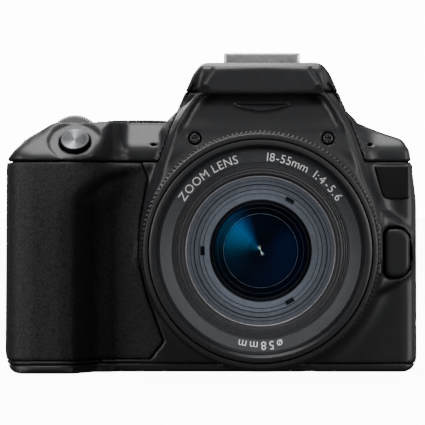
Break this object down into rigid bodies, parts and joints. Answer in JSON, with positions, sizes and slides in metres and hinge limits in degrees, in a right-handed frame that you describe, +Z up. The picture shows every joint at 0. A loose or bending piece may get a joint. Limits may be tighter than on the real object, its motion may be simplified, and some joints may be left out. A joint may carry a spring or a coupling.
{
  "type": "digital reflex camera",
  "caption": "Compact digital reflex camera with a standard zoom lens, deep grip, prism hump with pop-up flash, swing-out rear screen and top control dials",
  "frame": {"origin": "mouth of the tripod socket in the base, straight below the lens axis", "axes": "+Z up, -Y the way the lens looks, +X towards the terminal door, which is the right-hand side as seen from in front"},
  "size_m": [0.1221, 0.1263, 0.0948],
  "materials": {
    "body_plastic": "fine moulded grain",
    "leather_rubber": "leather grain",
    "gloss_black": "polished",
    "soft_rubber": "matte",
    "lens_black": "satin",
    "bezel_grey": "satin",
    "shoe_metal": "satin",
    "mount_metal": "fine turned",
    "screw_steel": "blackened",
    "button_metal": "turned",
    "coated_glass": "coated",
    "screen_gloss": "polished",
    "mirror": "polished",
    "brass": "turned",
    "board_green": "solder mask",
    "battery_grey": "satin",
    "sensor_glass": "polished",
    "frame_black": "flat black",
    "window_white": "frosted"
  },
  "bodies": {
    "camera_body": {"top_cover": "body_plastic", "front_cover": "body_plastic", "grip_shell": "body_plastic", "rear_cover": "body_plastic", "bottom_cover": "body_plastic", "grip_rubber": "leather_rubber", "prism_panel": "body_plastic", "badge_plate": "gloss_black", "thumb_rubber": "leather_rubber", "strap_lugs": "mount_metal", "hot_shoe": "shoe_metal", "cover_screws": "screw_steel", "eyecup": "soft_rubber", "eyepiece_lens": "coated_glass", "tripod_socket": "brass", "mirror_box": "frame_black", "focusing_screen": "window_white", "pentamirror": "mirror", "shutter_unit": "frame_black", "image_sensor": "sensor_glass", "main_board": "board_green", "battery": "battery_grey", "memory_card": "battery_grey", "mount_ring": "mount_metal", "mount_screws": "mount_metal"},
    "shutter_key": {"shutter_button": "button_metal"},
    "main_wheel": {"main_dial": "lens_black"},
    "mode_wheel": {"mode_dial": "lens_black"},
    "power_switch": {"power_lever": "body_plastic"},
    "iso_key": {"iso_button": "gloss_black"},
    "disp_key": {"disp_button": "gloss_black"},
    "menu_key": {"menu_button": "gloss_black"},
    "play_key": {"play_button": "gloss_black"},
    "pad_cradle": {"pad_gimbal": "frame_black"},
    "pad": {"direction_pad": "gloss_black"},
    "set_key": {"set_button": "gloss_black"},
    "flash": {"flash_head": "body_plastic", "flash_window": "window_white"},
    "release_key": {"lens_release_button": "body_plastic"},
    "lock": {"lock_pin": "mount_metal"},
    "mirror": {"reflex_mirror": "mirror"},
    "second_mirror": {"sub_mirror": "mirror"},
    "diopter_wheel": {"diopter_dial": "body_plastic"},
    "screen": {"screen_panel": "body_plastic", "screen_glass": "screen_gloss", "screen_arm": "body_plastic"},
    "side_door": {"terminal_door": "soft_rubber"},
    "base_door": {"battery_door": "body_plastic"},
    "base_latch": {"battery_latch": "lens_black"},
    "lens": {"lens_mount_plate": "frame_black", "lens_barrel": "lens_black", "rear_element": "frame_black", "aperture_iris": "frame_black"},
    "zoom": {"zoom_ring": "lens_black"},
    "front_group": {"inner_barrel": "lens_black", "front_bezel": "bezel_grey", "front_element": "coated_glass"},
    "focus": {"focus_ring": "lens_black"},
    "af_slider": {"af_switch": "gloss_black"},
    "stabiliser_slider": {"stabiliser_switch": "gloss_black"}
  },
  "joints": [
    {"name": "shutter_press", "type": "slide", "parent": "camera_body", "child": "shutter_key", "axis": [0, 0.7071, -0.7071], "range_m": [0, 0.0012], "stiffness_N_per_m": 400, "springref_m": -0.0006},
    {"name": "main_dial_turn", "type": "hinge", "parent": "camera_body", "child": "main_wheel", "pos_m": [-0.0548, -0.016, 0.0676], "axis": [0, -1, 0], "continuous": true},
    {"name": "mode_dial_turn", "type": "hinge", "parent": "camera_body", "child": "mode_wheel", "pos_m": [-0.0374, 0.007, 0.0718], "axis": [0, 0, 1], "continuous": true},
    {"name": "power_lever_turn", "type": "hinge", "parent": "camera_body", "child": "power_switch", "pos_m": [-0.0374, 0.007, 0.0702], "axis": [0, 0, 1], "range_deg": [0, 50]},
    {"name": "iso_press", "type": "slide", "parent": "camera_body", "child": "iso_key", "axis": [0, 0, -1], "range_m": [0, 0.0007], "stiffness_N_per_m": 400, "springref_m": -0.0006},
    {"name": "disp_press", "type": "slide", "parent": "camera_body", "child": "disp_key", "axis": [0, 0, -1], "range_m": [0, 0.0007], "stiffness_N_per_m": 400, "springref_m": -0.0006},
    {"name": "menu_press", "type": "slide", "parent": "camera_body", "child": "menu_key", "axis": [0, -1, 0], "range_m": [0, 0.0006], "stiffness_N_per_m": 400, "springref_m": -0.0006},
    {"name": "play_press", "type": "slide", "parent": "camera_body", "child": "play_key", "axis": [0, -1, 0], "range_m": [0, 0.0006], "stiffness_N_per_m": 400, "springref_m": -0.0006},
    {"name": "pad_tilt_up", "type": "hinge", "parent": "camera_body", "child": "pad_cradle", "pos_m": [-0.0555, 0.027, 0.027], "axis": [1, 0, 0], "range_deg": [-3, 3], "stiffness_Nm_per_rad": 0.02},
    {"name": "pad_tilt_side", "type": "hinge", "parent": "pad_cradle", "child": "pad", "pos_m": [-0.0555, 0.027, 0.027], "axis": [0, 0, 1], "range_deg": [-3, 3], "stiffness_Nm_per_rad": 0.02},
    {"name": "set_press", "type": "slide", "parent": "pad", "child": "set_key", "axis": [0, -1, 0], "range_m": [0, 0.0005], "stiffness_N_per_m": 400, "springref_m": -0.0006},
    {"name": "flash_raise", "type": "hinge", "parent": "camera_body", "child": "flash", "pos_m": [0, 0.001, 0.0885], "axis": [-1, 0, 0], "range_deg": [0, 65]},
    {"name": "release_press", "type": "slide", "parent": "camera_body", "child": "release_key", "axis": [0, 1, 0], "range_m": [0, 0.002], "stiffness_N_per_m": 500, "springref_m": -0.0006},
    {"name": "lock_pin_draw", "type": "slide", "parent": "camera_body", "child": "lock", "axis": [0, 1, 0], "range_m": [0, 0.0016]},
    {"name": "mirror_flip", "type": "hinge", "parent": "camera_body", "child": "mirror", "pos_m": [0, 0.009, 0.0495], "axis": [-1, 0, 0], "range_deg": [0, 45]},
    {"name": "sub_mirror_fold", "type": "hinge", "parent": "mirror", "child": "second_mirror", "pos_m": [0, 0.00348, 0.04087], "axis": [-1, 0, 0], "range_deg": [0, 90]},
    {"name": "diopter_turn", "type": "hinge", "parent": "camera_body", "child": "diopter_wheel", "pos_m": [-0.0204, 0.033, 0.078], "axis": [0, 1, 0], "range_deg": [-120, 120]},
    {"name": "screen_swing", "type": "hinge", "parent": "camera_body", "child": "screen", "pos_m": [0.0435, 0.0279, 0.0335], "axis": [0, 0, -1], "range_deg": [0, 175]},
    {"name": "terminal_door_open", "type": "hinge", "parent": "camera_body", "child": "side_door", "pos_m": [0.0463, -0.0127, 0.035], "axis": [0, 0, -1], "range_deg": [0, 110]},
    {"name": "battery_door_open", "type": "hinge", "parent": "camera_body", "child": "base_door", "pos_m": [-0.0534, -0.007, 0.0002], "axis": [0, -1, 0], "range_deg": [0, 90]},
    {"name": "battery_latch_slide", "type": "slide", "parent": "base_door", "child": "base_latch", "axis": [0, 1, 0], "range_m": [0, 0.003]},
    {"name": "lens_turn", "type": "hinge", "parent": "camera_body", "child": "lens", "pos_m": [0, -0.0275, 0.0363], "axis": [0, -1, 0], "range_deg": [0, 60]},
    {"name": "zoom_turn", "type": "hinge", "parent": "lens", "child": "zoom", "pos_m": [0, -0.065, 0.0363], "axis": [0, -1, 0], "range_deg": [0, 60]},
    {"name": "zoom_extend", "type": "slide", "parent": "lens", "child": "front_group", "axis": [0, -1, 0], "range_m": [0, 0.012]},
    {"name": "focus_turn", "type": "hinge", "parent": "front_group", "child": "focus", "pos_m": [0, -0.084, 0.0363], "axis": [0, -1, 0], "continuous": true},
    {"name": "af_slide", "type": "slide", "parent": "lens", "child": "af_slider", "axis": [0, 1, 0], "range_m": [0, 0.003]},
    {"name": "stabiliser_slide", "type": "slide", "parent": "lens", "child": "stabiliser_slider", "axis": [0, 1, 0], "range_m": [0, 0.003]}
  ],
  "couplings": [
    {"joint": "lock_pin_draw", "follows": "release_press", "ratio": 0.8},
    {"joint": "sub_mirror_fold", "follows": "mirror_flip", "ratio": 2},
    {"joint": "zoom_extend", "follows": "zoom_turn", "m_per_rad": 0.011459}
  ]
}
